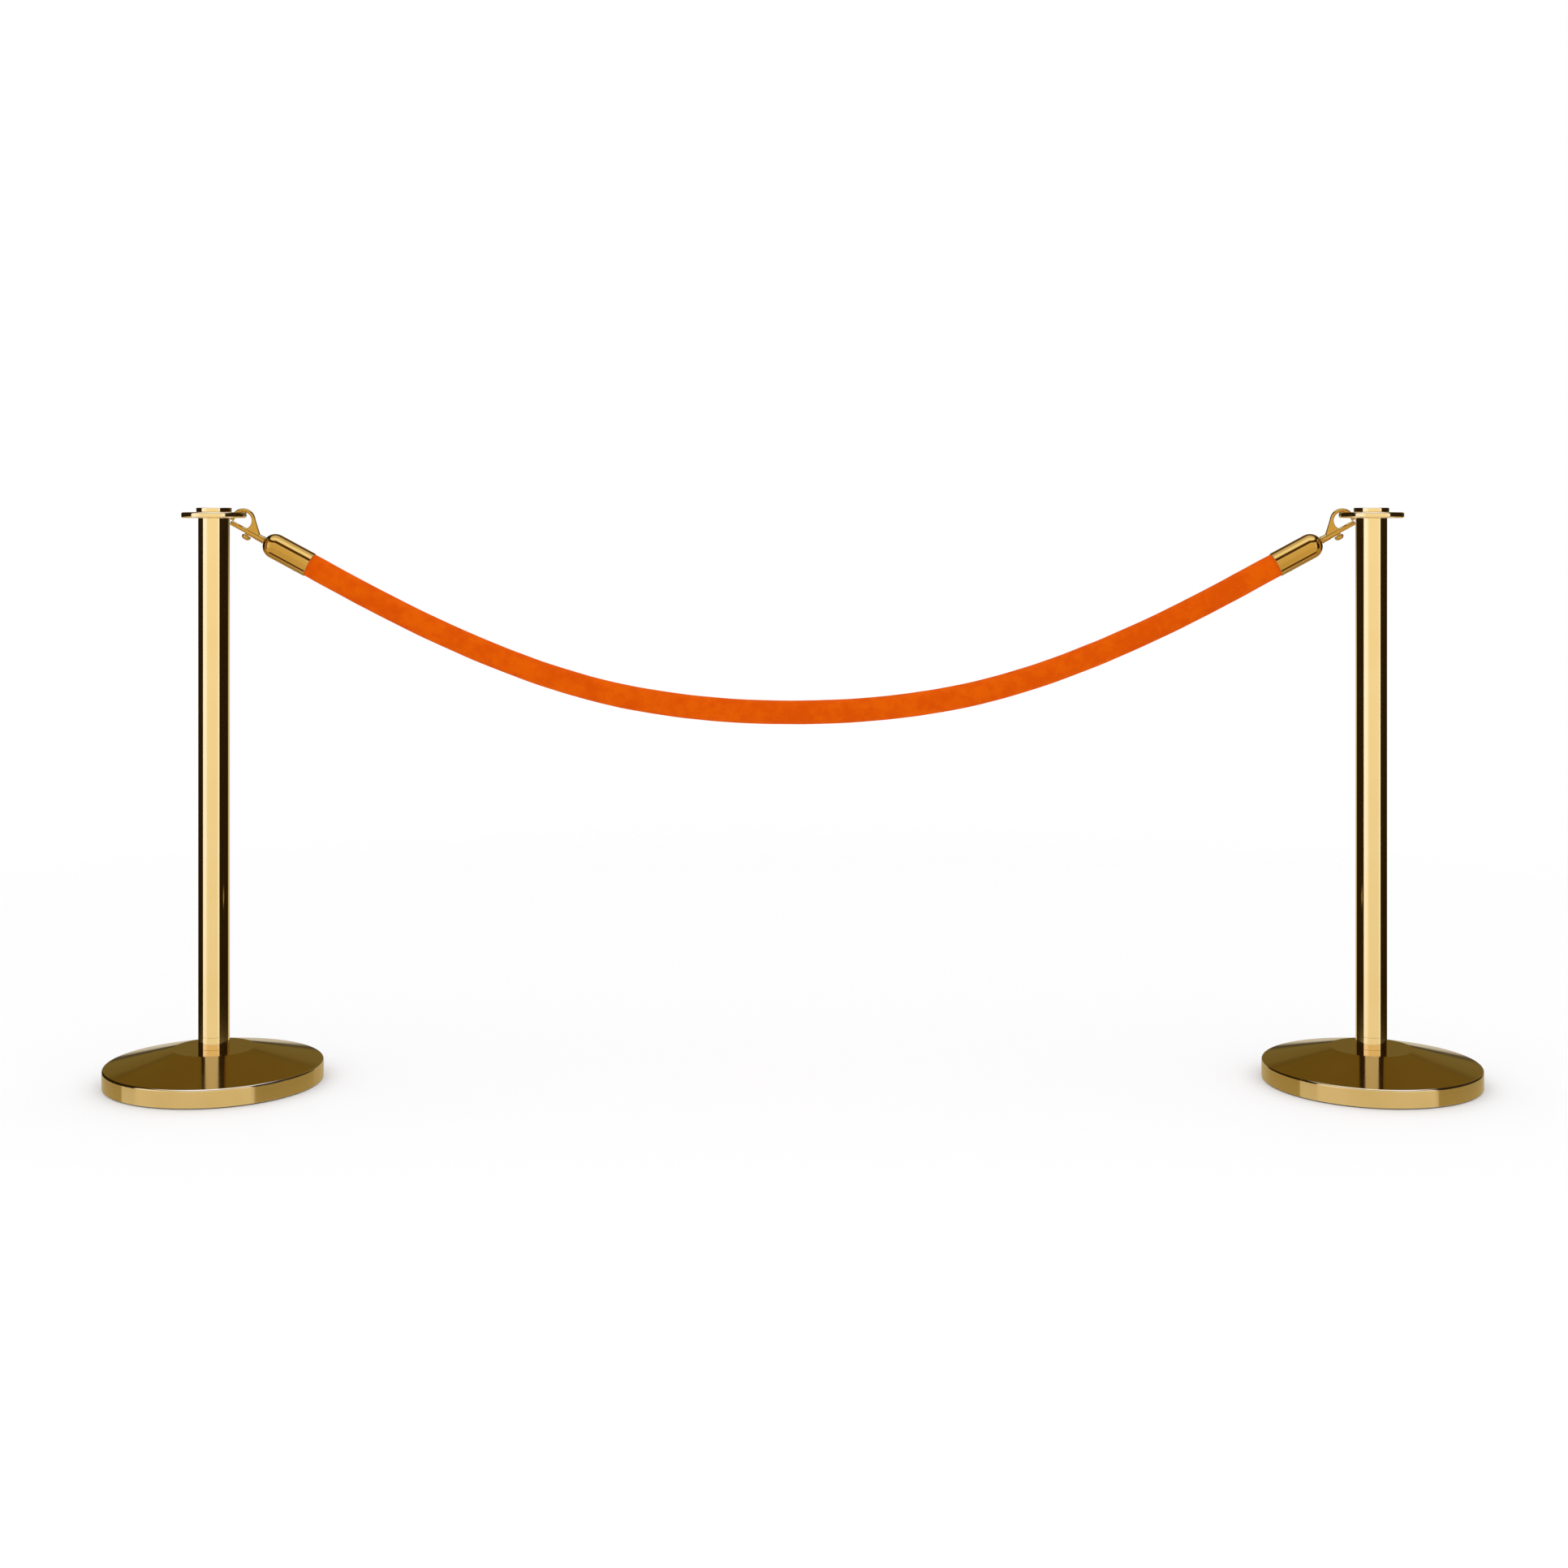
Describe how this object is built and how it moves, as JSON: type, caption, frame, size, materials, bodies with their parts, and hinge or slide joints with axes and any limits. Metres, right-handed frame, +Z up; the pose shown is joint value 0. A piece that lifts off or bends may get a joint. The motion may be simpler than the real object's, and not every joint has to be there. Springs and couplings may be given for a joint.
{
  "type": "velvet rope barrier",
  "caption": "Free-standing barrier: polished brass posts with weighted bases and slotted rings, joined by an orange velvet rope with capped ends and sprung snap hooks.",
  "frame": {"origin": "on the floor, midway between the posts' axes", "axes": "+X along the barrier towards the right post, +Z up, -Y towards the viewer"},
  "size_m": [2.274, 0.356, 0.95],
  "materials": {
    "polished_brass": "polished, lacquered",
    "gold_plate": "polished gold plating",
    "cast_iron": "as cast, black paint",
    "rubber": "matt",
    "zinc_steel": "zinc plated",
    "spring_steel": "drawn wire",
    "velvet": "short pile velvet",
    "cotton": "twisted cotton"
  },
  "bodies": {
    "barrier": {"left_base_cover": "polished_brass", "left_base_weight": "cast_iron", "left_floor_pad": "rubber", "left_tie_bolt": "zinc_steel", "left_tie_washer": "zinc_steel", "left_foot_plug": "polished_brass", "left_post_tube": "polished_brass", "left_head_plug": "zinc_steel", "left_cap_stud": "zinc_steel", "left_rope_ring": "polished_brass", "left_top_cap": "polished_brass", "left_swivel_washer": "zinc_steel", "left_swivel_nut": "zinc_steel", "left_hook_body": "gold_plate", "left_bolt_spring": "spring_steel", "right_base_cover": "polished_brass", "right_base_weight": "cast_iron", "right_floor_pad": "rubber", "right_tie_bolt": "zinc_steel", "right_tie_washer": "zinc_steel", "right_foot_plug": "polished_brass", "right_post_tube": "polished_brass", "right_head_plug": "zinc_steel", "right_cap_stud": "zinc_steel", "right_rope_ring": "polished_brass", "right_top_cap": "polished_brass", "right_swivel_washer": "zinc_steel", "right_swivel_nut": "zinc_steel", "right_hook_body": "gold_plate", "right_bolt_spring": "spring_steel", "rope_core": "cotton", "rope_sleeve": "velvet"},
    "left_cap": {"left_end_cap": "gold_plate", "left_cap_pins": "gold_plate", "left_rope_end": "cotton", "left_swivel_bush": "polished_brass"},
    "left_bolt": {"left_hook_bolt": "gold_plate", "left_thumb_knob": "gold_plate"},
    "right_cap": {"right_end_cap": "gold_plate", "right_cap_pins": "gold_plate", "right_rope_end": "cotton", "right_swivel_bush": "polished_brass"},
    "right_bolt": {"right_hook_bolt": "gold_plate", "right_thumb_knob": "gold_plate"}
  },
  "joints": [
    {"name": "left_cap_swivel", "type": "hinge", "parent": "barrier", "child": "left_cap", "pos_m": [-0.8, 0, 0.855], "axis": [0.8799, 0, -0.4751], "continuous": true},
    {"name": "right_cap_swivel", "type": "hinge", "parent": "barrier", "child": "right_cap", "pos_m": [0.8, 0, 0.855], "axis": [0.8799, 0, 0.4751], "continuous": true},
    {"name": "left_bolt_slide", "type": "slide", "parent": "barrier", "child": "left_bolt", "axis": [0.8799, 0, -0.4751], "range_m": [0, 0.012], "stiffness_N_per_m": 500, "springref_m": -0.008, "deforming": ["left_bolt_spring"]},
    {"name": "right_bolt_slide", "type": "slide", "parent": "barrier", "child": "right_bolt", "axis": [-0.8799, 0, -0.4751], "range_m": [0, 0.012], "stiffness_N_per_m": 500, "springref_m": -0.008, "deforming": ["right_bolt_spring"]}
  ],
  "couplings": [
    {"joint": "right_cap_swivel", "follows": "left_cap_swivel", "ratio": 1}
  ]
}
